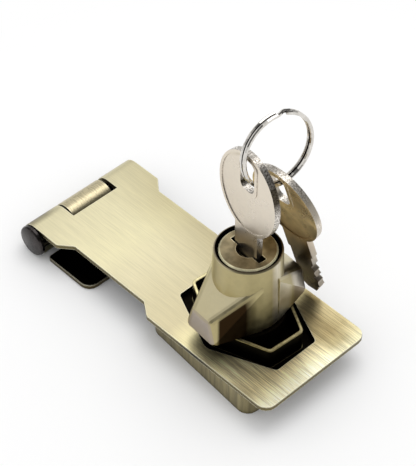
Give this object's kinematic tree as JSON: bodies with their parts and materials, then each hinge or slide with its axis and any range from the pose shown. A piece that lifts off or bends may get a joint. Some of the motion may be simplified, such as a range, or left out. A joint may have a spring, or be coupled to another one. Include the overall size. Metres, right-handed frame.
{
  "type": "keyed hasp lock",
  "caption": "Hinged brass hasp that closes over a raised base and is held by a winged keyed knob, shown with its keys on a split ring.",
  "frame": {"origin": "on the knob's axis, at the underside of the base's back plate, which is the surface that the lock is screwed to", "axes": "+Z out of the mounting surface along the knob's axis; the hasp runs along X with its hinge at -X; the hinge pin lies along Y with its head at -Y"},
  "size_m": [0.1014, 0.0441, 0.0814],
  "materials": {
    "antique_brass": "brushed antique brass",
    "plain_brass": "stamped sheet brass",
    "blackened_steel": "blackened steel with a bright turned edge",
    "nickel_silver": "blanked nickel silver",
    "nickel_plate": "bright nickel plated spring wire",
    "plated_steel": "bright zinc plate",
    "cast_zinc": "die-cast zinc"
  },
  "bodies": {
    "base": {"hasp_strap": "antique_brass", "hinge_pin": "blackened_steel", "base_cover": "antique_brass", "lock_housing": "cast_zinc", "back_plate": "plated_steel", "back_plate_screw_1": "plated_steel", "back_plate_screw_2": "plated_steel"},
    "leaf": {"hinge_leaf": "antique_brass"},
    "knob_body": {"knob": "antique_brass", "knob_retaining_ring": "plated_steel", "thrust_washer": "plated_steel"},
    "bolt": {"locking_bolt": "plated_steel"},
    "plug": {"lock_plug": "antique_brass", "plug_retaining_clip": "plated_steel", "wafer_1": "plain_brass", "wafer_2": "plain_brass", "wafer_3": "plain_brass", "wafer_4": "plain_brass", "wafer_5": "plain_brass", "wafer_spring_1": "plated_steel", "wafer_spring_2": "plated_steel", "wafer_spring_3": "plated_steel", "wafer_spring_4": "plated_steel", "wafer_spring_5": "plated_steel"},
    "key_body": {"key": "nickel_silver"},
    "ring": {"split_ring": "nickel_plate"},
    "spare": {"spare_key": "nickel_silver"}
  },
  "joints": [
    {"name": "leaf_hinge", "type": "hinge", "parent": "base", "child": "leaf", "pos_m": [-0.0688, 0, 0.005], "axis": [0, 1, 0], "range_deg": [-14, 255]},
    {"name": "knob_turn", "type": "hinge", "parent": "base", "child": "knob_body", "pos_m": [0, 0, 0.0152], "axis": [0, 0, 1], "range_deg": [0, 90]},
    {"name": "plug_turn", "type": "hinge", "parent": "knob_body", "child": "plug", "pos_m": [0, 0, 0.038], "axis": [0, 0, 1], "range_deg": [-90, 0]},
    {"name": "bolt_slide", "type": "slide", "parent": "knob_body", "child": "bolt", "axis": [0.9969, -0.0785, 0], "range_m": [0, 0.0014]},
    {"name": "key_slide", "type": "slide", "parent": "plug", "child": "key_body", "axis": [0, 0, 1], "range_m": [0, 0.0175]},
    {"name": "ring_swing", "type": "hinge", "parent": "key_body", "child": "ring", "pos_m": [0, 0, 0.0715], "axis": [0.9954, -0.0958, 0], "range_deg": [0, 60]},
    {"name": "spare_key_swing", "type": "hinge", "parent": "ring", "child": "spare", "pos_m": [0.00286, 0.00913, 0.05922], "axis": [-0.0239, 0.9695, 0.2441], "range_deg": [-25, 25]}
  ],
  "couplings": [
    {"joint": "bolt_slide", "follows": "plug_turn", "m_per_rad": -0.00089127}
  ]
}
